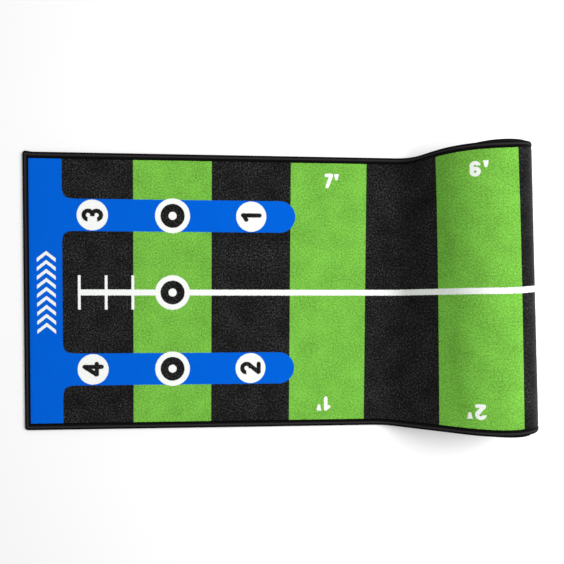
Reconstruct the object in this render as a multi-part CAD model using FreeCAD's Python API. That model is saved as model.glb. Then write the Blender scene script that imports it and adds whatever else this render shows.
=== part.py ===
"""Practice putting mat: a long tufted strip, its front part lying flat and the rest wound into a roll.

The strip is three bonded sheets (pile, woven backing, rubber base) with a bound edge all round.
It lies along +X, +Y is its left side seen from the front end, +Z is up and z = 0 is the floor.
The origin is at the middle of the object's footprint.

A strip like this bends anywhere. Here it is cut across into rigid sections that are hinged to each
other: five at the front end, which can be curled up, and two at the foot of the ramp, where the
strip bends when the roll is lifted.
"""
import FreeCAD, Part
import math
import os

# ---- driving dimensions, mm ----
INCH = 25.4
MAT_WIDTH = 21 * INCH
MAT_LENGTH = 118 * INCH        # along the backing, unrolled
PILE = 2.8                     # thickness of the tufted face
BACKING = 0.5                  # thickness of the woven primary backing
BASE = 2.2                     # thickness of the rubber base
GLUE = 0.08                    # latex between the sheets
BINDING_WIDTH = 10.0
BINDING_GRIP = 7.0             # how far the backing's edge reaches into the binding
GRIP_PLAY = 0.15               # above and below the gripped edge
CORNER_RADIUS = 5.0

FLAT_LENGTH = 702.0            # from the front edge to where the strip starts to lift
RAMP_ANGLE = 48.0              # degrees
FOOT_RADIUS = 55.0             # of the backing, hollow side up
CROWN_RADIUS = 130.0           # of the backing where the strip comes over onto the roll
ROLL_RADIUS = 70.0             # of the roll's outside
PITCH = 6.0                    # from one turn of the roll to the next

HINGE_GAP = 1.0                # between two hinged sections
FRONT_SECTIONS = 5
FRONT_SECTION_LENGTH = 60.0
FOOT_HINGES = (-15.0, 20.0, 55.0)   # along the strip, from where it starts to lift

# ---- the strip's thickness, as offsets from the middle of the backing ----
BACKING_TOP = BACKING / 2
BACKING_BOTTOM = -BACKING / 2
PILE_BOTTOM = BACKING_TOP + GLUE
FACE = PILE_BOTTOM + PILE
BASE_TOP = BACKING_BOTTOM - GLUE
UNDERSIDE = BASE_TOP - BASE


class Stretch:
    """A straight run or an arc of the strip's side profile, in the XZ plane.

    turn is the change of heading in radians: positive bends up, negative bends down.
    """

    def __init__(self, x, z, heading, length, turn=0.0):
        self.x = x
        self.z = z
        self.heading = heading
        self.length = length
        self.turn = turn

    def at(self, share, offset=0.0):
        """The point at a share of the stretch, moved off the backing towards the face."""
        angle = self.heading + self.turn * share
        x = self.x
        z = self.z
        if self.turn:
            radius = self.length / self.turn
            x += radius * (math.sin(angle) - math.sin(self.heading))
            z -= radius * (math.cos(angle) - math.cos(self.heading))
        else:
            x += self.length * share * math.cos(angle)
            z += self.length * share * math.sin(angle)
        return FreeCAD.Vector(x - offset * math.sin(angle), 0, z + offset * math.cos(angle))

    def cut(self, start, end):
        """The part of this stretch between two lengths along it."""
        first = self.at(start / self.length)
        heading = self.heading + self.turn * start / self.length
        turn = self.turn * (end - start) / self.length
        return Stretch(first.x, first.z, heading, end - start, turn)

    def edge(self, offset):
        """The edge that runs beside this stretch at an offset."""
        first = self.at(0, offset)
        last = self.at(1, offset)
        if self.turn:
            return Part.Arc(first, self.at(0.5, offset), last).toShape()
        return Part.LineSegment(first, last).toShape()


class Profile:
    """The whole side profile of the strip, one stretch after another."""

    def __init__(self, x, z):
        self.stretches = []
        self.end = (x, z, 0.0)
        self.length = 0.0

    def add(self, length, turn=0.0):
        x, z, heading = self.end
        stretch = Stretch(x, z, heading, length, turn)
        last = stretch.at(1)
        self.stretches.append(stretch)
        self.end = (last.x, last.z, heading + turn)
        self.length += length

    def between(self, start, end):
        """The stretches from one place along the strip to another."""
        found = []
        done = 0.0
        for stretch in self.stretches:
            low = max(start - done, 0.0)
            high = min(end - done, stretch.length)
            if high - low > 1e-6:
                found.append(stretch.cut(low, high))
            done += stretch.length
        return found

    def at(self, place, offset):
        """The point at a place along the strip and an offset from the backing."""
        last = self.between(place, place + 0.001)[0]
        return last.at(0, offset)


def side_profile():
    """Flat run, foot, ramp, and the roll, whose half turns each lose half a pitch of radius."""
    angle = math.radians(RAMP_ANGLE)
    first_turn = ROLL_RADIUS - FACE
    bends = FOOT_RADIUS + CROWN_RADIUS
    rise = 2 * ROLL_RADIUS - FACE + UNDERSIDE
    straight = (rise - bends * (1 - math.cos(angle))) / math.sin(angle)
    run = bends * math.sin(angle) + straight * math.cos(angle)
    front = -(FLAT_LENGTH + run + ROLL_RADIUS) / 2
    profile = Profile(front, -UNDERSIDE)
    profile.add(FLAT_LENGTH)
    profile.add(FOOT_RADIUS * angle, angle)
    profile.add(straight)
    profile.add(CROWN_RADIUS * angle, -angle)
    top = profile.length
    radius = first_turn
    while profile.length < MAT_LENGTH:
        length = min(math.pi * radius, MAT_LENGTH - profile.length)
        profile.add(length, -length / radius)
        radius -= PITCH / 2
    one_turn = math.pi * (2 * first_turn - PITCH / 2)
    return profile, top + one_turn


PROFILE, WRAP_END = side_profile()


def slab(start, end, low, high, right, left):
    """A piece of the strip between two places, two offsets and two distances across."""
    stretches = PROFILE.between(start, end)
    over = [stretch.edge(high) for stretch in stretches]
    under = [stretch.edge(low) for stretch in stretches]
    near = Part.LineSegment(stretches[0].at(0, low), stretches[0].at(0, high)).toShape()
    far = Part.LineSegment(stretches[-1].at(1, high), stretches[-1].at(1, low)).toShape()
    outline = Part.Wire(Part.__sortEdges__([near] + over + [far] + under))
    solid = Part.Face(outline).extrude(FreeCAD.Vector(0, left - right, 0))
    solid.translate(FreeCAD.Vector(0, right, 0))
    return solid


def turf(start, end):
    """The tufted, printed face: it stops where the binding begins."""
    side = MAT_WIDTH / 2 - BINDING_WIDTH
    return slab(start, end, PILE_BOTTOM, FACE, -side, side)


def backing(start, end):
    """The woven sheet that holds the tufts: its edges reach into the binding."""
    side = MAT_WIDTH / 2 - BINDING_WIDTH + BINDING_GRIP
    return slab(start, end, BACKING_BOTTOM, BACKING_TOP, -side, side)


def base(start, end):
    """The rubber sheet that lies on the floor."""
    side = MAT_WIDTH / 2 - BINDING_WIDTH
    return slab(start, end, UNDERSIDE, BASE_TOP, -side, side)


def side_binding(start, end, side):
    """The folded edge tape along one side, with a slot for the backing. side is 1 left, -1 right."""
    outer = side * MAT_WIDTH / 2
    inner = outer - side * BINDING_WIDTH
    slot = inner + side * BINDING_GRIP
    tape = slab(start, end, UNDERSIDE, FACE, min(inner, outer), max(inner, outer))
    grip_low = BACKING_BOTTOM - GRIP_PLAY
    grip_high = BACKING_TOP + GRIP_PLAY
    grip = slab(start, end, grip_low, grip_high, min(inner, slot), max(inner, slot))
    return tape.cut(grip)


def end_binding(start, end, inner):
    """The edge tape across an end of the strip, over its full width. inner is where its slot ends."""
    half = MAT_WIDTH / 2
    tape = slab(start, end, UNDERSIDE, FACE, -half, half)
    side = half - BINDING_WIDTH + BINDING_GRIP
    grip_low = BACKING_BOTTOM - GRIP_PLAY
    grip_high = BACKING_TOP + GRIP_PLAY
    grip = slab(min(inner), max(inner), grip_low, grip_high, -side, side)
    return tape.cut(grip)


def front_binding():
    """The tape across the front end, with the mat's two rounded corners."""
    grip_from = BINDING_WIDTH - BINDING_GRIP
    tape = end_binding(0.0, BINDING_WIDTH, (grip_from, BINDING_WIDTH))
    front = PROFILE.at(0.0, 0.0).x
    corners = []
    for edge in tape.Edges:
        upright = abs(edge.Vertexes[0].Z - edge.Vertexes[-1].Z) > BASE + PILE
        if upright and abs(edge.CenterOfMass.x - front) < 0.01:
            corners.append(edge)
    return tape.makeFillet(CORNER_RADIUS, corners)


def far_binding():
    """The tape across the far end, in the middle of the roll."""
    start = MAT_LENGTH - BINDING_WIDTH
    return end_binding(start, MAT_LENGTH, (start, start + BINDING_GRIP))


def section(name, start, end, grip_start=None, grip_end=None):
    """The five layers and tapes of one section of the strip, as node names and shapes.

    grip_start and grip_end take the backing on into an end binding.
    """
    backing_start = start if grip_start is None else grip_start
    backing_end = end if grip_end is None else grip_end
    return {
        "turf_" + name: turf(start, end),
        "backing_" + name: backing(backing_start, backing_end),
        "base_" + name: base(start, end),
        "binding_left_" + name: side_binding(start, end, 1),
        "binding_right_" + name: side_binding(start, end, -1),
    }


def front_sections():
    """The hinged sections of the front end, numbered from the lying section to the tip."""
    nodes = {}
    half = HINGE_GAP / 2
    for number in range(1, FRONT_SECTIONS + 1):
        start = (FRONT_SECTIONS - number) * FRONT_SECTION_LENGTH + half
        end = start + FRONT_SECTION_LENGTH - HINGE_GAP
        grip_start = None
        if number == FRONT_SECTIONS:
            start = BINDING_WIDTH
            grip_start = BINDING_WIDTH - BINDING_GRIP
        nodes.update(section("front_%d" % number, start, end, grip_start))
    return nodes


def rear_sections():
    """The lying section, the two sections of the foot, and the ramp with the roll."""
    half = HINGE_GAP / 2
    hinges = [FRONT_SECTIONS * FRONT_SECTION_LENGTH]
    hinges += [FLAT_LENGTH + place for place in FOOT_HINGES]
    nodes = {}
    for number, name in enumerate(("lying", "foot_1", "foot_2")):
        nodes.update(section(name, hinges[number] + half, hinges[number + 1] - half))
    nodes.update(section("ramp", hinges[-1] + half, WRAP_END))
    windings_end = MAT_LENGTH - BINDING_WIDTH
    nodes.update(section("windings", WRAP_END, windings_end, None, windings_end + BINDING_GRIP))
    return nodes


def main():
    os.makedirs("parts", exist_ok=True)
    nodes = front_sections()
    nodes.update(rear_sections())
    nodes["binding_front_end"] = front_binding()
    nodes["binding_far_end"] = far_binding()
    for name, shape in nodes.items():
        shape.exportStep("parts/%s.step" % name)


main()
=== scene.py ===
"""Practice putting mat: the pile, backing, rubber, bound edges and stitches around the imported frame.

Every piece is laid out on the strip's own coordinates: s runs along the mat from its front edge, t runs
across it from the middle towards the left side, and height is above the underside. strip_points bends
them into place: flat, up the foot and the ramp, over the crown and round the roll.
"""
import math

import bpy
import numpy as np
from mathutils import Euler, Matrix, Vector


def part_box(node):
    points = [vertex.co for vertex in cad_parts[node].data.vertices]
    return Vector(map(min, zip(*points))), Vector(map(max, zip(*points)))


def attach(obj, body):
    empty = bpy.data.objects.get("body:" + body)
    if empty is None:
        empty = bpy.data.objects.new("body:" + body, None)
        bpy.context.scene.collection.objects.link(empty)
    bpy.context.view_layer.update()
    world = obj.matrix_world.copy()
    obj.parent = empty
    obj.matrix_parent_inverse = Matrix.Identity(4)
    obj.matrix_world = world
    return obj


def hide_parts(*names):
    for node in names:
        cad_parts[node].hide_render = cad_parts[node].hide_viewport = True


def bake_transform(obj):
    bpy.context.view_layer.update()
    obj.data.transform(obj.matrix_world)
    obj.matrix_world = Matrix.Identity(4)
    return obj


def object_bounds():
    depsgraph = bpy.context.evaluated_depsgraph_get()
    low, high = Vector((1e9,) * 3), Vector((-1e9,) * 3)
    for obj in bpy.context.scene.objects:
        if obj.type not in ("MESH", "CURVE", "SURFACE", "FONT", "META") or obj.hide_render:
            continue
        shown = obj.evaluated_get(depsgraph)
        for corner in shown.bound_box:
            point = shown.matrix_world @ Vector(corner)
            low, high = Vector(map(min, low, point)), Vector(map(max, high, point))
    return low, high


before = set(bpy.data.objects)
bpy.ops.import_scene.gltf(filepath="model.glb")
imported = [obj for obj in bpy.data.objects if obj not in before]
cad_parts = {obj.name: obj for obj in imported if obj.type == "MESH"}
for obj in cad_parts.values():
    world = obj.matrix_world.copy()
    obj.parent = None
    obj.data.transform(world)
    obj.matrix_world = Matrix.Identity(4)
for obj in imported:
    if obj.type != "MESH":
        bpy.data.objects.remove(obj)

CAD_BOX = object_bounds()

bl_info = {
    "name": "Practice putting mat",
    "version": (1, 0, 0),
    "blender": (4, 5, 0),
    "location": "3D View > Sidebar > Putting mat",
    "description": "Builds a partly unrolled practice putting mat around its packed frame",
    "category": "Add Mesh",
}

INCH = 0.0254

# ---- the strip, from the frame ----
FRONT_X = CAD_BOX[0][0]
WIDTH = CAD_BOX[1][1] - CAD_BOX[0][1]
ROLL_TOP = CAD_BOX[1][2]
ROLL_X = CAD_BOX[1][0] - ROLL_TOP / 2
PILE_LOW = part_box("turf_lying")[0][2]
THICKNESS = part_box("turf_lying")[1][2]
RUBBER_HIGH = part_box("base_lying")[1][2]
BACKING_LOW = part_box("backing_lying")[0][2]
BACKING_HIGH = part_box("backing_lying")[1][2]
NEUTRAL = (BACKING_LOW + BACKING_HIGH) / 2
LENGTH = 118 * INCH
BINDING = 0.010
GRIP = 0.007
FLAT_LENGTH = 0.702
FOOT_RADIUS = 0.055
CROWN_RADIUS = 0.130
PITCH = 0.006
FIRST_TURN = ROLL_TOP / 2 - (THICKNESS - NEUTRAL)
WRAP_END = 1.3661

# ---- where the strip is hinged, and the bodies from the front end to the roll ----
FRONT_HINGES = [0.060, 0.120, 0.180, 0.240, 0.300]
FOOT_HINGES = [FLAT_LENGTH - 0.015, FLAT_LENGTH + 0.020, FLAT_LENGTH + 0.055]
BODIES = ["front_5", "front_4", "front_3", "front_2", "front_1", "lying", "foot_1", "foot_2", "roll"]
FRONT_REACH = 0.030
FOOT_REACH = 0.0175
BEND_INSET = 0.003

# ---- where the strip walks sideways, from the top of the crown, and the size of the corner's ear ----
WALK_PLACES = (-0.030, 0.090)
WANDER_PLACES = (0.500, 0.740)
EAR_REACH = 0.018

# ---- how finely the meshes are divided ----
MESH_STEP = 0.004
UNDER_STEP = 0.030
HIDDEN_STEP = 0.060
SHARP_ANGLE = math.radians(38)
END_CORNER_STEPS = 7

# ---- small sizes of the pile, the bindings and their stitches ----
HIDDEN_RELIEF = 0.0002
PILE_EDGE = np.array([0.0, 0.0008, 0.0018])
PILE_EDGE_WIDTH = 0.004
PILE_EDGE_DROP = 0.0011
SMALL_TUFTS = 0.0052
BROAD_WAVES = 0.021
END_CORNER = 0.006
END_CORNER_TURNED = 0.3
STITCH_OUT = 0.0002
STITCH_SUNK = 0.00125
STITCH_AHEAD = 0.0005
STITCH_UNEVENNESS = 0.25


def eased(values, low, high):
    """0 up to low, 1 from high, and a smooth rise between."""
    share = np.clip((values - low) / (high - low), 0, 1)
    return share * share * (3 - 2 * share)


def strip_points(s, t, height, shape):
    """Places on the strip as points. s, t and height are arrays of one shape.

    The real strip isn't quite true: its left side leaves the floor later and more sharply, the roll is
    a little askew, its far side is pressed in, and the strip walks to the left and back as it is wound.
    """
    share = t / WIDTH
    lift = FLAT_LENGTH + shape.skew * share
    foot = FOOT_RADIUS - shape.foot_tuck * share
    axis = ROLL_X - shape.askew * share
    run = axis - FRONT_X - lift
    rise = ROLL_TOP - THICKNESS
    bends = foot + CROWN_RADIUS
    straight = np.sqrt(run ** 2 + (rise - bends) ** 2 - bends ** 2)
    slope = np.arctan2(rise - bends, run) + np.arctan2(bends, straight)
    foot_end = lift + foot * slope
    ramp_end = foot_end + straight
    top = ramp_end + CROWN_RADIUS * slope
    top_z = ROLL_TOP - THICKNESS + NEUTRAL

    heading = np.clip((s - lift) / foot, 0, slope)
    x = FRONT_X + np.minimum(s, lift) + foot * np.sin(heading)
    z = NEUTRAL + foot * (1 - np.cos(heading))
    up = np.clip(s - foot_end, 0, straight)
    x = x + up * np.cos(slope)
    z = z + up * np.sin(slope)
    over = (s > ramp_end) & (s <= top)
    heading = np.where(over, slope - (s - ramp_end) / CROWN_RADIUS, heading)
    x = np.where(over, axis - CROWN_RADIUS * np.sin(heading), x)
    z = np.where(over, top_z + CROWN_RADIUS * (np.cos(heading) - 1), z)

    start = top
    radius = FIRST_TURN
    half_turns = 0
    while radius > PITCH:
        end = start + math.pi * radius
        here = (s > start) & (s <= end)
        centre_z = ROLL_TOP / 2 - (half_turns % 2) * PITCH / 2
        angle = -math.pi * half_turns - (s - start) / radius
        heading = np.where(here, angle, heading)
        x = np.where(here, axis - radius * np.sin(angle), x)
        z = np.where(here, centre_z + radius * np.cos(angle), z)
        start = end
        radius -= PITCH / 2
        half_turns += 1
    offset = height - NEUTRAL
    x = x - offset * np.sin(heading)
    z = z + offset * np.cos(heading)
    away = np.clip((x - axis) / np.hypot(x - axis, z - ROLL_TOP / 2 + 1e-9), 0, 1) * (s > top)
    x = x - (shape.pressed_in + shape.pressed_skew * share) * away ** 2
    ear = np.clip(1 - s / EAR_REACH, 0, 1) * np.clip(1 - (WIDTH / 2 - t) / EAR_REACH, 0, 1)
    t = t + shape.walk * eased(s, top + WALK_PLACES[0], top + WALK_PLACES[1]) + shape.ear * ear
    t = t - shape.wander * eased(s, top + WANDER_PLACES[0], top + WANDER_PLACES[1])
    return np.stack([x, t, z], axis=-1)


class Noise:
    """Smooth random heights from -1 to 1 over the mat, the same for every piece."""

    def __init__(self, cell, seed):
        self.cell = cell
        rows = int(LENGTH / cell) + 3
        columns = int(WIDTH / cell) + 3
        self.table = np.random.default_rng(seed).uniform(-1, 1, (rows, columns))

    def at(self, s, t):
        """The height at places on the strip, blended between the table's four nearest cells."""
        a = np.clip(s, 0, LENGTH) / self.cell
        b = (np.clip(t, -WIDTH / 2, WIDTH / 2) + WIDTH / 2) / self.cell
        row = np.floor(a).astype(int)
        column = np.floor(b).astype(int)
        u = a - row
        v = b - column
        u = u * u * (3 - 2 * u)
        v = v * v * (3 - 2 * v)
        low = self.table[row, column] * (1 - v) + self.table[row, column + 1] * v
        high = self.table[row + 1, column] * (1 - v) + self.table[row + 1, column + 1] * v
        return low * (1 - u) + high * u


# ---- stretches of the strip, one for each bend and each rigid run ----

def stretches():
    """(name, start, end, body before, body after or None) from the front end to the far end."""
    hinges = FRONT_HINGES + FOOT_HINGES
    reach = [FRONT_REACH] * len(FRONT_HINGES) + [FOOT_REACH] * len(FOOT_HINGES)
    made = []
    done = 0.0
    for number, hinge in enumerate(hinges):
        low = hinge - reach[number]
        high = hinge + reach[number]
        before = BODIES[number]
        after = BODIES[number + 1]
        if low - done > 0.001:
            made.append((before, done, low, before, None))
        made.append(("%s_to_%s" % (before, after), low, high, before, after))
        done = high
    made.append(("ramp", done, WRAP_END, "roll", None))
    made.append(("windings", WRAP_END, LENGTH, "roll", None))
    return made


def sections_of(stretch):
    """The CAD sections that a stretch of the strip stands for."""
    name, _, _, before, after = stretch
    if name == "windings":
        return ["windings"]
    return ["ramp" if body == "roll" else body for body in (before, after) if body]


def settle(piece, stretch, nodes, shape):
    """Make a finished piece ride with its body, or leave a piece that spans a bend where it lies, on no
    body; and hide the CAD nodes that it stands for.
    """
    _, start, end, before, after = stretch
    if after:
        places = np.array([start + BEND_INSET, end - BEND_INSET])
        points = strip_points(places, np.zeros(2), np.full(2, NEUTRAL), shape)
        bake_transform(piece)
    else:
        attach(piece, before)
    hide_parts(*nodes)


def finish_sheet(piece, stretch, node, flat, rests_on, shape):
    """Settle one stretch of a sheet. Its flat size and what is under it are not used."""
    settle(piece, stretch, [node + section for section in sections_of(stretch)], shape)
    held = "folded" if stretch[0] in ("ramp", "windings") else "laid"


# ---- meshes ----

def new_piece(name, points, faces, uvs, material):
    """A mesh object from points, faces and one uv for each corner of each face."""
    mesh = bpy.data.meshes.new(name)
    mesh.from_pydata([tuple(p) for p in points], [], faces)
    layer = mesh.uv_layers.new(name="strip")
    layer.data.foreach_set("uv", np.array(uvs, np.float32).ravel())
    mesh.polygons.foreach_set("use_smooth", [True] * len(mesh.polygons))
    mesh.set_sharp_from_angle(angle=SHARP_ANGLE)
    mesh.materials.append(material)
    mesh.update()
    piece = bpy.data.objects.new(name, mesh)
    bpy.context.scene.collection.objects.link(piece)
    return piece


def sheet_piece(name, rows, columns, low, high, shape, material):
    """A closed sheet over rows of s and columns of t. low is a height, high a height or an array."""
    s, t = np.meshgrid(rows, columns, indexing="ij")
    over = strip_points(s, t, high + np.zeros(s.shape), shape)
    s_low, t_low = np.meshgrid(rows, spread(columns[0], columns[-1], UNDER_STEP), indexing="ij")
    under = strip_points(s_low, t_low, np.full(s_low.shape, low), shape)
    points = np.concatenate([over.reshape(-1, 3), under.reshape(-1, 3)])
    flat = np.concatenate([
        np.stack([s, t], axis=-1).reshape(-1, 2),
        np.stack([s_low, t_low], axis=-1).reshape(-1, 2),
    ])
    count = len(rows)
    wide = len(columns)
    narrow = s_low.shape[1]
    top = np.arange(count * wide).reshape(count, wide)
    bottom = count * wide + np.arange(count * narrow).reshape(count, narrow)
    faces = []
    for i in range(count - 1):
        for j in range(wide - 1):
            faces.append((top[i, j], top[i + 1, j], top[i + 1, j + 1], top[i, j + 1]))
        for j in range(narrow - 1):
            faces.append((bottom[i, j], bottom[i, j + 1], bottom[i + 1, j + 1], bottom[i + 1, j]))
        faces.append((top[i, 0], bottom[i, 0], bottom[i + 1, 0], top[i + 1, 0]))
        faces.append((top[i, -1], top[i + 1, -1], bottom[i + 1, -1], bottom[i, -1]))
    faces.append(tuple(top[0]) + tuple(bottom[0][::-1]))
    faces.append(tuple(top[-1][::-1]) + tuple(bottom[-1]))
    faces = [tuple(int(k) for k in face) for face in faces]
    uvs = flat[np.concatenate([np.array(face) for face in faces])]
    return new_piece(name, points, faces, uvs, material)


def girth_from_crown(outline):
    """Lengths around a closed section, with its first point again at the end, from its highest point."""
    steps = np.linalg.norm(np.diff(np.vstack([outline, outline[:1]]), axis=0), axis=1)
    girth = np.concatenate([[0.0], np.cumsum(steps)])
    return girth - girth[np.argmax(outline[:, 1])]


def lofted_piece(name, rows, section, shape, material, side):
    """A closed bar along the strip's side with a section of (distance from the edge, height)."""
    outline = np.array(section)
    if side < 0:
        outline = outline[::-1]
    around = len(outline)
    s = np.repeat(np.array(rows)[:, None], around, axis=1)
    t = np.repeat(side * (WIDTH / 2 - outline[None, :, 0]), len(rows), axis=0)
    height = np.repeat(outline[None, :, 1], len(rows), axis=0)
    points = strip_points(s, t, height, shape).reshape(-1, 3)
    girth = side * girth_from_crown(outline)
    index = np.arange(len(rows) * around).reshape(len(rows), around)
    faces = []
    uvs = []
    for i in range(len(rows) - 1):
        for j in range(around):
            k = (j + 1) % around
            faces.append((int(index[i, j]), int(index[i, k]), int(index[i + 1, k]), int(index[i + 1, j])))
            low, high = rows[i], rows[i + 1]
            uvs += [(low, girth[j]), (low, girth[j + 1]), (high, girth[j + 1]), (high, girth[j])]
    faces.append(tuple(int(k) for k in index[0][::-1]))
    faces.append(tuple(int(k) for k in index[-1]))
    uvs += [(rows[0], girth[j]) for j in range(around)] + [(rows[-1], girth[j]) for j in range(around)]
    return new_piece(name, points, faces, uvs, material)


def spread(start, end, step):
    """Evenly spaced places from start to end, about step apart."""
    return np.linspace(start, end, max(2, int(round((end - start) / step)) + 1))


# ---- shader expressions ----

class Term:
    """A shader number that Python's operators work on."""

    def __init__(self, shader, socket):
        self.shader = shader
        self.socket = socket

    def __add__(self, other):
        return self.shader.math("ADD", self, other)

    def __radd__(self, other):
        return self.shader.math("ADD", other, self)

    def __sub__(self, other):
        return self.shader.math("SUBTRACT", self, other)

    def __rsub__(self, other):
        return self.shader.math("SUBTRACT", other, self)

    def __mul__(self, other):
        return self.shader.math("MULTIPLY", self, other)

    def __rmul__(self, other):
        return self.shader.math("MULTIPLY", other, self)

    def __truediv__(self, other):
        return self.shader.math("DIVIDE", self, other)

    def __neg__(self):
        return self.shader.math("MULTIPLY", self, -1.0)

    def __abs__(self):
        return self.shader.math("ABSOLUTE", self)

    def __gt__(self, other):
        return self.shader.math("GREATER_THAN", self, other)

    def __lt__(self, other):
        return self.shader.math("LESS_THAN", self, other)


class Shader:
    """One material's node tree, and the few ways in which nodes are added to it."""

    def __init__(self, name):
        self.material = bpy.data.materials.new(name)
        self.material.use_nodes = True
        self.tree = self.material.node_tree
        self.surface = self.tree.nodes["Principled BSDF"]

    def node(self, kind, settings=None, sockets=None):
        """A node of a kind, with its settings set first and then its sockets' values or links."""
        made = self.tree.nodes.new(kind)
        for name, value in (settings or {}).items():
            setattr(made, name, value)
        for name, value in (sockets or {}).items():
            self.feed(made.inputs[name], value)
        return made

    def feed(self, socket, value):
        """Link a socket to a term or another socket, or set its value."""
        if isinstance(value, Term):
            value = value.socket
        if isinstance(value, bpy.types.NodeSocket):
            self.tree.links.new(value, socket)
        else:
            socket.default_value = value

    def math(self, operation, *values):
        """The result of a Math node on terms and numbers."""
        made = self.node("ShaderNodeMath", {"operation": operation}, dict(enumerate(values)))
        return Term(self, made.outputs[0])

    def least(self, a, b):
        return self.math("MINIMUM", a, b)

    def most(self, a, b):
        return self.math("MAXIMUM", a, b)

    def clamp(self, value):
        """The value held between 0 and 1."""
        made = self.node("ShaderNodeClamp", None, {"Value": value})
        return Term(self, made.outputs[0])

    def wrap(self, value, size):
        """The value counted from 0 again at every multiple of size."""
        return self.math("FLOORED_MODULO", value, size)

    def length(self, a, b):
        """The length of a vector with two terms."""
        return self.math("SQRT", a * a + b * b)

    def fade(self, value, low, high):
        """0 below low, 1 above high, and a straight line between."""
        made = self.node("ShaderNodeMapRange", None, {"Value": value, "From Min": low, "From Max": high})
        return Term(self, made.outputs[0])

    def noise(self, vector, scale, detail=2.0, roughness=0.5):
        """Smooth noise around 0.5."""
        sockets = {"Vector": vector, "Scale": scale, "Detail": detail, "Roughness": roughness}
        return Term(self, self.node("ShaderNodeTexNoise", None, sockets).outputs[0])

    def mix(self, factor, first, second):
        """A colour between two colours, which are sockets or (r, g, b) values."""
        made = self.node("ShaderNodeMix", {"data_type": "RGBA"}, {0: factor})
        for socket, value in ((made.inputs[6], first), (made.inputs[7], second)):
            self.feed(socket, (*value, 1.0) if isinstance(value, tuple) else value)
        return made.outputs[2]

    def strip(self):
        """The mat's own flat coordinates: the vector, s and t."""
        vector = self.node("ShaderNodeUVMap", {"uv_map": "strip"}).outputs[0]
        split = self.node("ShaderNodeSeparateXYZ", None, {0: vector})
        return vector, Term(self, split.outputs[0]), Term(self, split.outputs[1])

    def bump(self, height, distance, strength=1.0):
        """Dent the surface where height is low."""
        sockets = {"Height": height, "Distance": distance, "Strength": strength}
        self.feed(self.surface.inputs["Normal"], self.node("ShaderNodeBump", None, sockets).outputs[0])

    def finish(self, color, roughness, **constants):
        """Feed the surface its colour and roughness, and set what is the same all over it."""
        self.feed(self.surface.inputs["Base Color"], color)
        self.feed(self.surface.inputs["Roughness"], roughness)
        for name, value in constants.items():
            self.surface.inputs[name.replace("_", " ")].default_value = value
        return self.material


# ---- sizes of the print and of the other materials' patterns ----

TARGET_S = 11 * INCH
ARM_T = 0.1486
DISC_STEP = 6 * INCH
STRIPE_EDGE = 3 * INCH - 0.0009
STRIPE_SHEAR = 0.0088
REPEAT = 12 * INCH
ARM_HALF = 0.0309
ARM_END = 0.4875
BAND_END = 0.070
DISC_RADIUS = 0.0294
RING_OUTER = 0.0232
RING_INNER = 0.0078
TARGET_RADIUS = 0.0335
LINE_HALF = 0.0057
LABEL_T = WIDTH / 2 - 0.046
LABEL_SIZE = 0.0272
LABEL_SPREAD = 1.06
DISC_DIGIT_SIZE = 0.0405
CHEVRON_S = 0.0400
CHEVRON_HALF = 0.0175
CHEVRON_PITCH = 0.0172
CHEVRON_STROKE = 0.0036
CHEVRON_SLANT = 0.8
CHEVRON_COUNT = 9
PRINT_START = 0.0032
# the next constant widens the painted shadow along the two side seams
SEAM_SHADE_SIDE = 0.0016
PRINT_SHIFT = -0.0015
PRINT_BLUR = 0.0007
PRINT_FRAY = 0.0022
# the painted shadow along the seams: how far it reaches in, how far its edge wanders, and how soft that edge
# is
SEAM_SHADE_REACH = 0.0010
SEAM_SHADE_WANDER = 0.0016
SEAM_SHADE_BLUR = 0.0005
SHEAR_GROWS = (0.0, 0.55)
SHEAR_FADES = (0.70, 1.0)
ARM_FILLET = 0.030
LINE_START = 4 * INCH
TICK_PITCH = 2 * INCH
TICK_HALF = 0.0026
TICK_REACH = 0.033
FIRST_GREEN = 6 * INCH
LABEL_START = 17 * INCH
LABEL_COUNT = 7
LABEL_STROKE = 0.122
DISC_STROKE = 0.104
YARN_PITCH = 0.0018
YARN_SLANT = 0.35
WEAVE_PITCH = 0.0024
WAFFLE_PITCH = 0.004


# ---- the materials ----

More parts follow.
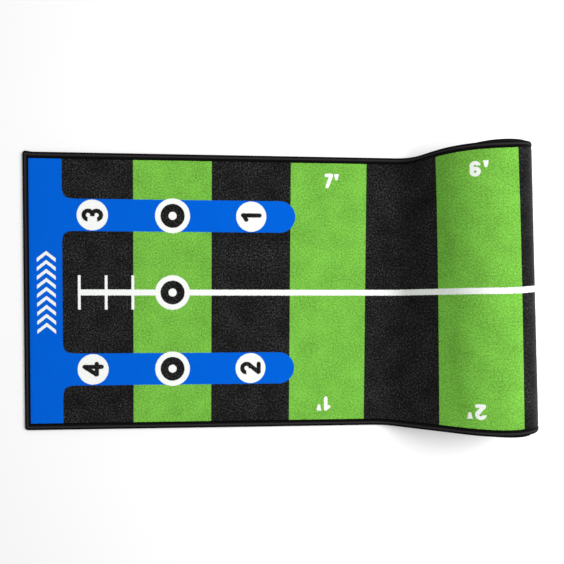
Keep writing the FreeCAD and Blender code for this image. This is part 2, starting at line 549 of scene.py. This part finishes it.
class Digits:
    """The digits 1 to 7 drawn with strokes and rings around (0, 0), one unit tall."""

    def __init__(self, shader, x, y, half):
        self.shader = shader
        self.x = x
        self.y = y
        self.half = half

    def stroke(self, ax, ay, bx, by):
        """Distance outside a straight stroke from a to b."""
        dx = bx - ax
        dy = by - ay
        size = dx * dx + dy * dy
        x = self.x - ax
        y = self.y - ay
        along = self.shader.clamp((x * dx + y * dy) * (1 / size))
        return self.shader.length(x - along * dx, y - along * dy) - self.half

    def ring(self, cx, cy, radius, cut=None):
        """Distance outside a ring, without what lies outside cut."""
        made = abs(self.shader.length(self.x - cx, self.y - cy) - radius) - self.half
        return made if cut is None else self.shader.most(made, cut)

    def join(self, *shapes):
        """Distance outside several shapes together."""
        made = shapes[0]
        for shape in shapes[1:]:
            made = self.shader.least(made, shape)
        return made

    def all(self):
        """Distances outside the digits 1 to 7, in this order."""
        x, y = self.x, self.y
        least = self.shader.least
        return [
            self.join(self.stroke(0.06, -0.40, 0.06, 0.40), self.stroke(0.06, 0.38, -0.15, 0.24)),
            self.join(
                self.ring(0.0, 0.19, 0.21, least(-x - 0.02, 0.20 - y)),
                self.stroke(0.17, 0.07, -0.19, -0.38),
                self.stroke(-0.19, -0.40, 0.21, -0.40),
            ),
            self.join(
                self.ring(0.0, 0.20, 0.20, least(-x - 0.06, 0.22 - y)),
                self.ring(0.0, -0.20, 0.20, least(-x - 0.06, y + 0.22)),
            ),
            self.join(
                self.stroke(0.12, -0.40, 0.12, 0.40),
                self.stroke(0.12, 0.40, -0.24, -0.14),
                self.stroke(-0.24, -0.17, 0.26, -0.17),
            ),
            self.join(
                self.stroke(-0.16, 0.40, 0.19, 0.40),
                self.stroke(-0.16, 0.40, -0.19, 0.02),
                self.ring(-0.01, -0.18, 0.22, least(-x - 0.10, y + 0.28)),
            ),
            self.join(
                self.ring(0.0, -0.19, 0.205),
                self.stroke(-0.205, -0.19, -0.20, 0.19),
                self.ring(0.0, 0.19, 0.20, 0.21 - y),
            ),
            self.join(self.stroke(-0.17, 0.40, 0.17, 0.40), self.stroke(0.17, 0.38, -0.10, -0.40)),
        ]


def ink(shader, distance, blur=PRINT_BLUR):
    """1 inside a printed shape, 0 outside, from the distance outside it."""
    return shader.clamp(0.5 - distance / blur)


def printed_digits(shader, s, t, s_half, t_half):
    """(ink of the distance labels, ink of the digits on the discs)."""
    from_target = s_half - TARGET_S
    far_disc = from_target > 0.0
    below = t_half < 0.0
    disc_x = (t_half - ARM_T * (1 - 2 * below)) / DISC_DIGIT_SIZE
    disc_y = (DISC_STEP * (2 * far_disc - 1) - from_target) / DISC_DIGIT_SIZE
    disc_digit = 3 + below - 2 * far_disc
    on_disc = (shader.length(disc_x, disc_y) < 0.8) * (s_half < 20 * INCH)

    right = t < 0.0
    label_s = s + right * (LENGTH - 2 * s) - LABEL_START
    label_x = (shader.wrap(label_s, REPEAT) - REPEAT / 2) / LABEL_SIZE / LABEL_SPREAD
    label_y = (abs(t) - LABEL_T) / LABEL_SIZE
    label_digit = LABEL_COUNT - shader.math("FLOOR", label_s / REPEAT)

    x = label_x + on_disc * (disc_x - label_x)
    y = label_y + on_disc * (disc_y - label_y)
    half = LABEL_STROKE - on_disc * (LABEL_STROKE - DISC_STROKE)
    digit = label_digit + on_disc * (disc_digit - label_digit)
    drawn = Digits(shader, x, y, half)
    marks = 0.0
    for number, distance in enumerate(drawn.all(), 1):
        chosen = shader.math("COMPARE", digit, float(number), 0.1)
        marks = marks + chosen * ink(shader, distance, PRINT_BLUR / LABEL_SIZE)
    # 1 and 7 are narrow digits, so their foot mark stands closer
    narrow = abs(label_digit - 4) > 2.5
    taper = abs(x - 0.64 + narrow * 0.11) - 0.065 - y * 0.20
    foot_mark = ink(shader, shader.most(taper, abs(y - 0.28) - 0.22), PRINT_BLUR / LABEL_SIZE)
    labelled = (label_s > 0.0) * (label_s < LABEL_COUNT * REPEAT) * (1 - on_disc)
    return shader.clamp(marks + foot_mark) * labelled, marks * on_disc


def chevrons(shader, s, t):
    """Distance outside a plain row of chevrons along the front band."""
    across = abs(s - CHEVRON_S)
    along = t + (across - CHEVRON_HALF / 2) * CHEVRON_SLANT
    row = CHEVRON_COUNT * CHEVRON_PITCH / 2
    stripe = abs(shader.wrap(along + row, CHEVRON_PITCH) - CHEVRON_PITCH / 2) - CHEVRON_STROKE
    return shader.most(stripe, shader.most(across - CHEVRON_HALF, abs(along) - row))


def printed_pile(looks):
    """The printed pile: stripes, band with arms, targets, centre line, digits, on speckled tufts, with a
    painted shadow along the seams.
    """
    shader = Shader("printed_pile")
    vector, s, t = shader.strip()
    fray = shader.node("ShaderNodeTexNoise", None, {"Vector": vector, "Scale": 700.0, "Detail": 1.0})
    shift = shader.node("ShaderNodeSeparateXYZ", None, {0: fray.outputs[1]})
    # Painted shade: a near-black margin along the seams, standing for the shadow in the groove where the
    # pile meets the binding, its edge toothed by noise.
    margin = shader.least(WIDTH / 2 - SEAM_SHADE_SIDE - abs(t), shader.least(s, LENGTH - s)) - BINDING
    seam_shade_edge = SEAM_SHADE_REACH + shader.noise(vector, 420.0, 1.0) * SEAM_SHADE_WANDER
    seam = shader.clamp((seam_shade_edge - margin) / SEAM_SHADE_BLUR)
    s = s + (Term(shader, shift.outputs[0]) - 0.5) * PRINT_FRAY - PRINT_START
    t = t + (Term(shader, shift.outputs[1]) - 0.5) * PRINT_FRAY - PRINT_SHIFT
    sheared = shader.fade(s, *SHEAR_GROWS) - shader.fade(s, *SHEAR_FADES)
    s = s - t * sheared * STRIPE_SHEAR
    far = s > LENGTH / 2
    s_half = s + far * (LENGTH - 2 * s)
    t_half = t * (1 - 2 * far)
    across = abs(t)

    stripe = abs(shader.wrap(s_half - 5 * INCH, REPEAT) - REPEAT / 2) - STRIPE_EDGE
    green = ink(shader, stripe) * (s_half > FIRST_GREEN)
    arm = shader.length(shader.most(s_half - ARM_END, 0.0), across - ARM_T) - ARM_HALF
    blue = ink(shader, shader.math("SMOOTH_MIN", s_half - BAND_END, arm, ARM_FILLET))
    line = shader.most(across - LINE_HALF, LINE_START - s_half)
    tick = abs(shader.wrap(s_half - 3 * INCH, TICK_PITCH) - TICK_PITCH / 2) - TICK_HALF
    tick = shader.most(shader.most(tick, across - TICK_REACH), abs(s_half - 6 * INCH) - 3 * INCH)
    from_target = s_half - TARGET_S
    target = shader.length(from_target, shader.least(across, abs(across - ARM_T)))
    disc = shader.length(abs(from_target) - DISC_STEP, across - ARM_T)
    labels, disc_digits = printed_digits(shader, s, t, s_half, t_half)
    white = shader.least(line, tick)
    white = shader.least(shader.least(white, target - TARGET_RADIUS), disc - DISC_RADIUS)
    white = shader.least(white, chevrons(shader, s_half, t_half))
    white = shader.most(ink(shader, white), labels)
    ring = abs(target - (RING_OUTER + RING_INNER) / 2) - (RING_OUTER - RING_INNER) / 2
    black = shader.most(ink(shader, ring), disc_digits)

    fine = shader.fade(shader.noise(vector, 560.0, 2.0, 0.65), 0.36, 0.66)
    tuft = shader.fade(shader.noise(vector, 300.0, 2.0, 0.6), 0.36, 0.66)
    patch = shader.fade(shader.noise(vector, 22.0, 3.0, 0.55), 0.30, 0.70)
    grain = fine * 0.5 + tuft * 0.5
    speck = shader.math("POWER", grain, 3.0)
    dark_pile = shader.mix(speck * (0.55 + patch * 0.9), (0.0028, 0.0028, 0.0028), tuple(looks.black_pile))
    green_deep = tuple(0.42 * c for c in looks.green_pile)
    green_light = tuple(min(1.0, 1.55 * c) for c in looks.green_pile)
    color = shader.mix(green, dark_pile, shader.mix(grain * 0.8 + patch * 0.2, green_deep, green_light))
    blue_deep = tuple(0.90 * c for c in looks.blue_pile)
    color = shader.mix(blue, color, shader.mix(grain * 0.7 + patch * 0.3, blue_deep, tuple(looks.blue_pile)))
    color = shader.mix(white, color, shader.mix(grain, (0.82, 0.84, 0.81), tuple(looks.white_pile)))
    color = shader.mix(black, color, dark_pile)
    # the painted seam shadow goes over the print
    color = shader.mix(seam, color, (0.0015, 0.0015, 0.0015))
    fibre = shader.noise(vector, 1500.0, 2.0, 0.6)
    shader.bump(grain * 0.45 + fibre * 0.55, 0.0007, 0.55)
    return shader.finish(color, 0.95, Sheen_Weight=0.18, Sheen_Roughness=0.35, Specular_IOR_Level=0.03)


def bound_edge(looks):
    """Black overlocked yarn: slanting turns of thread with painted highlights on their crests, and a painted
    highlight along the crown of the bead.
    """
    shader = Shader("bound_edge")
    vector, s, girth = shader.strip()
    turn = abs(shader.wrap(s + girth * YARN_SLANT, YARN_PITCH) - YARN_PITCH / 2) * (2 / YARN_PITCH)
    crest = 1 - turn * turn
    fuzz = shader.noise(vector, 900.0, 3.0, 0.65)
    # painted highlight: a pale band along the bead's crown, where light falls on it; the sides stay near
    # black
    crown = shader.clamp(1.5 - abs(girth - 0.0012) / 0.0016)
    # the colour's paleness: painted highlights on the turns' crests, random fuzz, and the painted crown
    # highlight
    light = shader.clamp(crest * 0.5 + fuzz * 0.5 - 0.2) * (0.08 + crown * 0.92)
    color = shader.mix(light, (0.0012, 0.0012, 0.0013), tuple(looks.binding))
    shader.bump(crest + fuzz * 0.5, 0.0004, 0.7)
    return shader.finish(color, 0.85, Sheen_Weight=0.01, Sheen_Roughness=0.4, Specular_IOR_Level=0.05)


def stitch_thread(looks):
    """The needle thread of the bound edge."""
    shader = Shader("stitch_thread")
    place = shader.node("ShaderNodeTexCoord").outputs["Object"]
    fuzz = shader.noise(place, 1400.0, 2.0, 0.6)
    color = shader.mix(fuzz, (0.002, 0.002, 0.002), tuple(0.4 * c for c in looks.binding))
    shader.bump(fuzz, 0.0002, 0.5)
    return shader.finish(color, 0.7, Sheen_Weight=0.05, Sheen_Roughness=0.5, Specular_IOR_Level=0.2)


def rubber_base(looks):
    """Matt foamed rubber with a fine waffle pressed into it and scattered pores, painted darker in the dents
    and the pores as shade.
    """
    shader = Shader("rubber_base")
    vector, s, t = shader.strip()
    rib = abs(shader.wrap(s + t, WAFFLE_PITCH) - WAFFLE_PITCH / 2) * (2 / WAFFLE_PITCH)
    cross = abs(shader.wrap(s - t, WAFFLE_PITCH) - WAFFLE_PITCH / 2) * (2 / WAFFLE_PITCH)
    waffle = shader.fade(shader.least(rib, cross), 0.10, 0.45)
    pores = shader.noise(vector, 800.0, 3.0, 0.6)
    patch = shader.noise(vector, 25.0, 3.0, 0.6)
    # painted shade in the waffle's dents and in the pores, where the bump is low; the slow patches are
    # random tone
    dent_shade_and_tone = shader.clamp(waffle * 0.45 + pores * 0.5 + patch * 0.4 - 0.25)
    color = shader.mix(dent_shade_and_tone, (0.008, 0.008, 0.008), tuple(looks.rubber))
    shader.bump(waffle + pores * 0.35, 0.0005, 0.6)
    return shader.finish(color, 0.72 + pores * 0.2, Specular_IOR_Level=0.35)


def woven_backing():
    """Flat tape yarns woven over and under, painted darker towards each yarn's edges as shade between the
    yarns.
    """
    shader = Shader("woven_backing")
    vector, s, t = shader.strip()
    warp = abs(shader.wrap(s, WEAVE_PITCH) - WEAVE_PITCH / 2) * (2 / WEAVE_PITCH)
    weft = abs(shader.wrap(t, WEAVE_PITCH) - WEAVE_PITCH / 2) * (2 / WEAVE_PITCH)
    crossing = shader.math("FLOOR", s / WEAVE_PITCH) + shader.math("FLOOR", t / WEAVE_PITCH)
    over = shader.wrap(crossing, 2.0)
    cloth = warp * over + weft * (1 - over)
    fuzz = shader.noise(vector, 700.0, 2.0, 0.6)
    # painted shade: lighter along each yarn's middle, darker at its edges, following the bump
    color = shader.mix(shader.clamp(1 - cloth + fuzz * 0.3), (0.02, 0.02, 0.02), (0.11, 0.11, 0.105))
    shader.bump(1 - cloth, 0.0002, 0.7)
    return shader.finish(color, 0.7)


# ---- settings ----

def color_setting(name, description, default):
    """A colour that a user can change."""
    return bpy.props.FloatVectorProperty(
        name=name, description=description, default=default, size=3, min=0.0, max=1.0, subtype="COLOR"
    )


def length_setting(name, description, default):
    """A length in metres that a user can change."""
    return bpy.props.FloatProperty(name=name, description=description, default=default, unit="LENGTH")


class MatShape(bpy.types.PropertyGroup):
    """Sizes of the mat that Blender sets on top of the frame."""

    skew: length_setting("Skew", "How much later the left side leaves the floor than the right", 0.0472)
    foot_tuck: length_setting("Foot tuck", "How much smaller the foot's bend is on the left side", 0.020)
    askew: length_setting("Roll askew", "How much nearer to the front the roll's left end lies", 0.0106)
    pressed_in: length_setting("Pressed in", "How far the roll's far side is pressed in", 0.0082)
    pressed_skew: length_setting("Pressed skew", "How much more it is pressed in on the left", 0.0117)
    walk: length_setting("Walk", "How far to the left the strip walks as it comes over the crown", 0.0056)
    wander: length_setting("Wander", "How far the turns inside the second one walk back", 0.0090)
    ear: length_setting("Ear", "How far the front left corner sticks out", 0.0026)
    fine_step: length_setting("Pile step", "Spacing of the pile's mesh where it shows", 0.0032)
    relief: length_setting("Relief", "Height of the pile's unevenness", 0.00028)
    stitch_pitch: length_setting("Stitch pitch", "Distance between the binding's stitches", 0.0045)
    stitch_length: length_setting("Stitch length", "Length of one stitch across the edge", 0.0034)
    stitch_thickness: length_setting("Stitch thickness", "Thickness of the thread", 0.0008)
    seed: bpy.props.IntProperty(name="Seed", description="Fixes everything that is random", default=7)


class MatLooks(bpy.types.PropertyGroup):
    """Colours of the mat's pieces."""

    green_pile: color_setting("Green pile", "Print on the light stripes", (0.174, 0.478, 0.057))
    black_pile: color_setting("Black pile", "Crests of the dark stripes", (0.084, 0.084, 0.084))
    blue_pile: color_setting("Blue pile", "Band and arms", (0.0, 0.120, 0.69))
    white_pile: color_setting("White pile", "Lines, discs and labels", (0.96, 0.98, 0.95))
    # binding: the pale colour of the bound edge's painted highlights, shown mostly in the band along its
    # crown; the stitch thread takes 0.4 of it
    binding: color_setting("Binding", "Crests of the bound edge", (0.066, 0.058, 0.066))
    rubber: color_setting("Rubber", "Underside", (0.035, 0.035, 0.036))


# ---- pieces ----

def pile_columns(step):
    """Columns across the pile, close together where its edges roll down to the binding."""
    side = WIDTH / 2 - BINDING
    middle = spread(-side + PILE_EDGE_WIDTH, side - PILE_EDGE_WIDTH, step)
    return np.concatenate([-side + PILE_EDGE, middle, side - PILE_EDGE[::-1]])


def pile_heights(s, t, relief, seed):
    """Heights of the pile's face: small tufts, slow waves, and edges combed down."""
    small = Noise(SMALL_TUFTS, seed).at(s, t)
    broad = Noise(BROAD_WAVES, seed + 1).at(s, t)
    side = WIDTH / 2 - BINDING
    inside = np.clip((side - np.abs(t)) / PILE_EDGE_WIDTH, 0, 1)
    ends = np.clip((np.minimum(s, LENGTH - s) - BINDING) / PILE_EDGE_WIDTH, 0, 1)
    combed = (1 - np.minimum(inside, ends)) ** 2
    return THICKNESS - relief + relief * (0.6 * small + 0.4 * broad) - PILE_EDGE_DROP * combed


class MAT_OT_pile(bpy.types.Operator):
    """Make the printed pile, one closed sheet for each stretch of the mat"""

    bl_idname = "mat.pile"
    bl_label = "Pile"

    def execute(self, context):
        shape = context.scene.mat_shape
        material = printed_pile(context.scene.mat_looks)
        for stretch in stretches():
            name, start, end, _, _ = stretch
            hidden = name == "windings"
            low = max(start, BINDING)
            high = min(end, LENGTH - BINDING)
            if hidden:
                rows = spread(low, high, MESH_STEP)
                columns = spread(-WIDTH / 2 + BINDING, WIDTH / 2 - BINDING, HIDDEN_STEP)
            else:
                rows = spread(low, high, shape.fine_step)
                columns = pile_columns(shape.fine_step)
            if low == BINDING:
                rows = np.concatenate([low + PILE_EDGE, rows[2:]])
            s, t = np.meshgrid(rows, columns, indexing="ij")
            heights = pile_heights(s, t, HIDDEN_RELIEF if hidden else shape.relief, shape.seed)
            piece = sheet_piece("pile_" + name, rows, columns, PILE_LOW, heights, shape, material)
            flat = (WIDTH - 2 * BINDING, high - low)
            finish_sheet(piece, stretch, "turf_", flat, ["weave_" + name], shape)
        return {"FINISHED"}


class MAT_OT_backing(bpy.types.Operator):
    """Make the woven backing that holds the tufts and is gripped by the binding"""

    bl_idname = "mat.backing"
    bl_label = "Woven backing"

    def execute(self, context):
        shape = context.scene.mat_shape
        material = woven_backing()
        side = WIDTH / 2 - BINDING + GRIP
        for stretch in stretches():
            name, start, end, _, _ = stretch
            low = max(start, BINDING - GRIP)
            high = min(end, LENGTH - BINDING + GRIP)
            rows = spread(low, high, MESH_STEP)
            columns = spread(-side, side, HIDDEN_STEP)
            piece = sheet_piece(
                "weave_" + name, rows, columns, BACKING_LOW, BACKING_HIGH, shape, material
            )
            flat = (2 * side, high - low)
            finish_sheet(piece, stretch, "backing_", flat, ["rubber_" + name], shape)
        return {"FINISHED"}


class MAT_OT_rubber(bpy.types.Operator):
    """Make the rubber base under the backing"""

    bl_idname = "mat.rubber"
    bl_label = "Rubber base"

    def execute(self, context):
        shape = context.scene.mat_shape
        material = rubber_base(context.scene.mat_looks)
        side = WIDTH / 2 - BINDING
        for stretch in stretches():
            name, start, end, _, _ = stretch
            low = max(start, BINDING)
            high = min(end, LENGTH - BINDING)
            rows = spread(low, high, MESH_STEP)
            columns = spread(-side, side, UNDER_STEP)
            piece = sheet_piece("rubber_" + name, rows, columns, 0.0, RUBBER_HIGH, shape, material)
            finish_sheet(piece, stretch, "base_", (2 * side, high - low), (), shape)
        return {"FINISHED"}


def binding_section():
    """The bound edge's section: a full outer roll, a shallow crown, and a groove along the needle."""
    mm = 0.001
    high = THICKNESS / mm
    outline = [
        (1.4, 0.0), (0.5, 0.5), (0.0, 1.6), (0.05, 3.1), (0.6, 4.3), (1.6, 5.1), (3.0, high - 0.15),
        (4.6, high), (6.2, high - 0.08), (7.6, high - 0.45), (8.6, high - 1.1), (9.3, high - 2.0),
        (10.0, high - 2.3), (10.0, 0.0),
    ]
    return [(a * mm, h * mm) for a, h in outline]


class MAT_OT_side_bindings(bpy.types.Operator):
    """Make the bound edges along both sides"""

    bl_idname = "mat.side_bindings"
    bl_label = "Side bindings"

    def execute(self, context):
        shape = context.scene.mat_shape
        material = bound_edge(context.scene.mat_looks)
        section = binding_section()
        for stretch in stretches():
            name, start, end, _, _ = stretch
            low = max(start, BINDING)
            high = min(end, LENGTH - BINDING)
            rows = spread(low, high, MESH_STEP)
            for side, word in ((1, "left"), (-1, "right")):
                piece = lofted_piece(
                    "binding_%s_%s" % (word, name), rows, section, shape, material, side
                )
                nodes = ["binding_%s_%s" % (word, part) for part in sections_of(stretch)]
                settle(piece, stretch, nodes, shape)
        return {"FINISHED"}


def end_binding(name, at_front, shape, material):
    """The bound edge across an end, its section turned inwards round two rounded corners."""
    section = np.array(binding_section())
    girth = girth_from_crown(section)[:-1]
    half = WIDTH / 2
    path = [(BINDING, half, 0.0)]
    for angle in np.linspace(0, math.pi / 2, END_CORNER_STEPS):
        s = END_CORNER * (1 - math.sin(angle))
        t = half - END_CORNER * (1 - math.cos(angle))
        path.append((s, t, angle))
    near = np.minimum(section[:, 0], END_CORNER)
    rest = section[:, 0] - near
    rings = []
    for side, places in ((1, path), (-1, path[::-1])):
        for s, t, angle in places:
            ahead = math.sin(angle)
            across = math.cos(angle)
            ring_s = s + near * ahead + rest * (ahead > END_CORNER_TURNED)
            ring_t = side * (t - near * across - rest * (across > END_CORNER_TURNED))
            rings.append(np.stack([ring_s, ring_t, section[:, 1]], axis=-1))
    count = len(rings)
    points = np.concatenate(rings)
    s = points[:, 0] if at_front else LENGTH - points[:, 0]
    placed = strip_points(s, points[:, 1], points[:, 2], shape)
    around = len(section)
    index = np.arange(count * around).reshape(count, around)
    faces = []
    for i in range(count - 1):
        for j in range(around):
            k = (j + 1) % around
            face = (index[i, j], index[i + 1, j], index[i + 1, k], index[i, k])
            faces.append(tuple(int(n) for n in (face if at_front else face[::-1])))
    first = tuple(int(n) for n in index[0])
    last = tuple(int(n) for n in index[-1][::-1])
    faces += [first, last] if at_front else [first[::-1], last[::-1]]
    flat = np.stack([points[:, 1], np.tile(girth, count)], axis=-1)
    uvs = flat[np.concatenate([np.array(face) for face in faces])]
    return new_piece(name, placed, faces, uvs, material)


class MAT_OT_end_bindings(bpy.types.Operator):
    """Make the bound edges across the two ends"""

    bl_idname = "mat.end_bindings"
    bl_label = "End bindings"

    def execute(self, context):
        shape = context.scene.mat_shape
        material = bound_edge(context.scene.mat_looks)
        front = end_binding("binding_front_end", True, shape, material)
        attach(front, "front_5")
        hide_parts("binding_front_end")
        far = end_binding("binding_far_end", False, shape, material)
        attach(far, "roll")
        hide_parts("binding_far_end")
        return {"FINISHED"}


def stitch_tree(material):
    """A node tree that lays a short rounded stitch on every point, along its across direction."""
    tree = bpy.data.node_groups.new("edge_stitches", "GeometryNodeTree")
    face = tree.interface
    face.new_socket("Geometry", in_out="INPUT", socket_type="NodeSocketGeometry")
    for name, value in (("Length", 0.0034), ("Thickness", 0.0008), ("Unevenness", STITCH_UNEVENNESS)):
        face.new_socket(name, in_out="INPUT", socket_type="NodeSocketFloat").default_value = value
    face.new_socket("Seed", in_out="INPUT", socket_type="NodeSocketInt").default_value = 7
    face.new_socket("Geometry", in_out="OUTPUT", socket_type="NodeSocketGeometry")
    nodes = tree.nodes
    link = tree.links.new
    given = nodes.new("NodeGroupInput")
    made = nodes.new("NodeGroupOutput")
    thread = nodes.new("GeometryNodeMeshUVSphere")
    thread.inputs["Segments"].default_value = 8
    thread.inputs["Rings"].default_value = 5
    thread.inputs["Radius"].default_value = 0.5
    size = nodes.new("ShaderNodeCombineXYZ")
    link(given.outputs["Thickness"], size.inputs["X"])
    link(given.outputs["Length"], size.inputs["Y"])
    link(given.outputs["Thickness"], size.inputs["Z"])
    shaped = nodes.new("GeometryNodeTransform")
    link(thread.outputs["Mesh"], shaped.inputs["Geometry"])
    link(size.outputs[0], shaped.inputs["Scale"])
    along = nodes.new("GeometryNodeInputNamedAttribute")
    along.data_type = "FLOAT_VECTOR"
    along.inputs["Name"].default_value = "along"
    turn = nodes.new("FunctionNodeAlignRotationToVector")
    turn.axis = "X"
    turn.pivot_axis = "Y"
    link(along.outputs["Attribute"], turn.inputs["Vector"])
    less = nodes.new("ShaderNodeMath")
    less.operation = "SUBTRACT"
    less.inputs[0].default_value = 1.0
    link(given.outputs["Unevenness"], less.inputs[1])
    uneven = nodes.new("FunctionNodeRandomValue")
    uneven.data_type = "FLOAT"
    uneven.inputs["Max"].default_value = 1.0
    link(less.outputs[0], uneven.inputs["Min"])
    link(given.outputs["Seed"], uneven.inputs["Seed"])
    placed = nodes.new("GeometryNodeInstanceOnPoints")
    link(given.outputs["Geometry"], placed.inputs["Points"])
    link(shaped.outputs["Geometry"], placed.inputs["Instance"])
    link(turn.outputs["Rotation"], placed.inputs["Rotation"])
    link(uneven.outputs["Value"], placed.inputs["Scale"])
    real = nodes.new("GeometryNodeRealizeInstances")
    link(placed.outputs["Instances"], real.inputs["Geometry"])
    finish = nodes.new("GeometryNodeSetMaterial")
    finish.inputs["Material"].default_value = material
    link(real.outputs["Geometry"], finish.inputs["Geometry"])
    link(finish.outputs["Geometry"], made.inputs["Geometry"])
    return tree


def stitched(name, points, along, tree, values):
    """A plain mesh of stitches on points, each turned to its along direction."""
    mesh = bpy.data.meshes.new(name + "_places")
    mesh.from_pydata([tuple(p) for p in points], [], [])
    mesh.attributes.new("along", "FLOAT_VECTOR", "POINT").data.foreach_set("vector", along.ravel())
    holder = bpy.data.objects.new(name + "_places", mesh)
    bpy.context.scene.collection.objects.link(holder)
    modifier = holder.modifiers.new("stitches", "NODES")
    modifier.node_group = tree
    for socket in tree.interface.items_tree:
        if socket.in_out == "INPUT" and socket.name in values:
            modifier[socket.identifier] = values[socket.name]
    graph = bpy.context.evaluated_depsgraph_get()
    made = bpy.data.meshes.new_from_object(holder.evaluated_get(graph))
    made.name = name
    made.polygons.foreach_set("use_smooth", [True] * len(made.polygons))
    bpy.data.objects.remove(holder)
    piece = bpy.data.objects.new(name, made)
    bpy.context.scene.collection.objects.link(piece)
    return piece


class MAT_OT_stitches(bpy.types.Operator):
    """Sew the binding down: a row of stitches along its inner line, both sides"""

    bl_idname = "mat.stitches"
    bl_label = "Stitches"

    def execute(self, context):
        shape = context.scene.mat_shape
        tree = stitch_tree(stitch_thread(context.scene.mat_looks))
        values = {
            "Length": shape.stitch_length,
            "Thickness": shape.stitch_thickness,
            "Unevenness": STITCH_UNEVENNESS,
            "Seed": shape.seed,
        }
        pitch = shape.stitch_pitch
        seam = WIDTH / 2 - BINDING + STITCH_OUT
        for stretch in stretches():
            name, start, end, _, _ = stretch
            if name == "windings":
                continue
            low = max(start, BINDING)
            places = np.arange(math.ceil(low / pitch), math.floor(end / pitch) + 1) * pitch
            places = places[(places > low) & (places <= end)]
            s = np.concatenate([places, places])
            t = np.repeat([seam, -seam], len(places))
            height = np.full(len(s), THICKNESS - STITCH_SUNK)
            points = strip_points(s, t, height, shape)
            ahead = strip_points(s + STITCH_AHEAD, t, height, shape)
            along = (ahead - points) / np.linalg.norm(ahead - points, axis=1)[:, None]
            piece = stitched("stitches_" + name, points, along, tree, values)
            settle(piece, stretch, [], shape)
        return {"FINISHED"}


# ---- stage ----

CAMERA_LENS = 37.4
CAMERA_PLACE = (0.3846, -0.0350, 1.1573)
CAMERA_TURN = (-0.0223, -0.0742, -0.0027)
CAMERA_SHIFT = (0.0234, 0.0721)
FLOOR_SIZE = 12.0
FLOOR_DROP = 0.0006
FLOOR_COLOR = (0.97, 0.97, 0.97)
SKY_STRENGTH = 0.50
LAMP_PLACE = (1.70, 0.30, 2.25)
LAMP_AIM = (0.1, 0.0, 0.0)
LAMP_SIZE = 2.2
LAMP_POWER = 77.0


def plain_material(name, color):
    """A matt surface of nearly one colour."""
    shader = Shader(name)
    place = shader.node("ShaderNodeTexCoord").outputs["Object"]
    tone = shader.mix(shader.noise(place, 3.0), color, tuple(0.99 * c for c in color))
    return shader.finish(tone, 0.9)


def soft_light(name, place, aim, size, power):
    """A round soft lamp at a place, turned towards aim."""
    lamp = bpy.data.lights.new(name, "AREA")
    lamp.shape = "DISK"
    lamp.size = size
    lamp.energy = power
    holder = bpy.data.objects.new(name, lamp)
    holder.location = place
    holder.rotation_euler = (Vector(aim) - Vector(place)).to_track_quat("-Z", "Y").to_euler()
    bpy.context.scene.collection.objects.link(holder)


class MAT_OT_stage(bpy.types.Operator):
    """Make the floor, the lights, the world and the camera"""

    bl_idname = "mat.stage"
    bl_label = "Stage"

    def execute(self, context):
        scene = context.scene
        bpy.ops.mesh.primitive_plane_add(size=FLOOR_SIZE, location=(0, 0, -FLOOR_DROP))
        floor = context.object
        floor.name = "floor"
        floor.data.materials.append(plain_material("pale_floor", FLOOR_COLOR))
        world = bpy.data.worlds.new("soft_white")
        world.use_nodes = True
        sky = world.node_tree.nodes["Background"]
        sky.inputs["Color"].default_value = (1.0, 1.0, 1.0, 1.0)
        sky.inputs["Strength"].default_value = SKY_STRENGTH
        scene.world = world
        soft_light("overhead", LAMP_PLACE, LAMP_AIM, LAMP_SIZE, LAMP_POWER)
        scene.view_settings.view_transform = "Standard"
        lens = bpy.data.cameras.new("camera")
        lens.sensor_width = 36.0
        lens.lens = CAMERA_LENS
        lens.shift_x, lens.shift_y = CAMERA_SHIFT
        lens.clip_start = 0.01
        camera = bpy.data.objects.new("camera", lens)
        camera.location = (FRONT_X + CAMERA_PLACE[0], CAMERA_PLACE[1], CAMERA_PLACE[2])
        camera.rotation_mode = "ZYX"
        camera.rotation_euler = Euler(CAMERA_TURN, "ZYX")
        scene.collection.objects.link(camera)
        scene.camera = camera
        return {"FINISHED"}


class MAT_PT_panel(bpy.types.Panel):
    """The mat's settings and the steps that make it"""

    bl_label = "Putting mat"
    bl_idname = "MAT_PT_panel"
    bl_space_type = "VIEW_3D"
    bl_region_type = "UI"
    bl_category = "Putting mat"

    def draw(self, context):
        layout = self.layout
        for group in (context.scene.mat_shape, context.scene.mat_looks):
            for name in group.__annotations__:
                layout.prop(group, name)
        for step in STEPS:
            layout.operator(step.bl_idname)


STEPS = (
    MAT_OT_pile,
    MAT_OT_backing,
    MAT_OT_rubber,
    MAT_OT_side_bindings,
    MAT_OT_end_bindings,
    MAT_OT_stitches,
    MAT_OT_stage,
)
CLASSES = (MatShape, MatLooks, *STEPS, MAT_PT_panel)


def register():
    for kind in CLASSES:
        bpy.utils.register_class(kind)
    bpy.types.Scene.mat_shape = bpy.props.PointerProperty(type=MatShape)
    bpy.types.Scene.mat_looks = bpy.props.PointerProperty(type=MatLooks)


def unregister():
    del bpy.types.Scene.mat_looks
    del bpy.types.Scene.mat_shape
    for kind in reversed(CLASSES):
        bpy.utils.unregister_class(kind)


def main():
    """Register the add-on's classes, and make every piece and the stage."""
    register()
    bpy.ops.mat.pile()
    bpy.ops.mat.backing()
    bpy.ops.mat.rubber()
    bpy.ops.mat.side_bindings()
    bpy.ops.mat.end_bindings()
    bpy.ops.mat.stitches()
    bpy.ops.mat.stage()


if __name__ == "__main__":
    main()
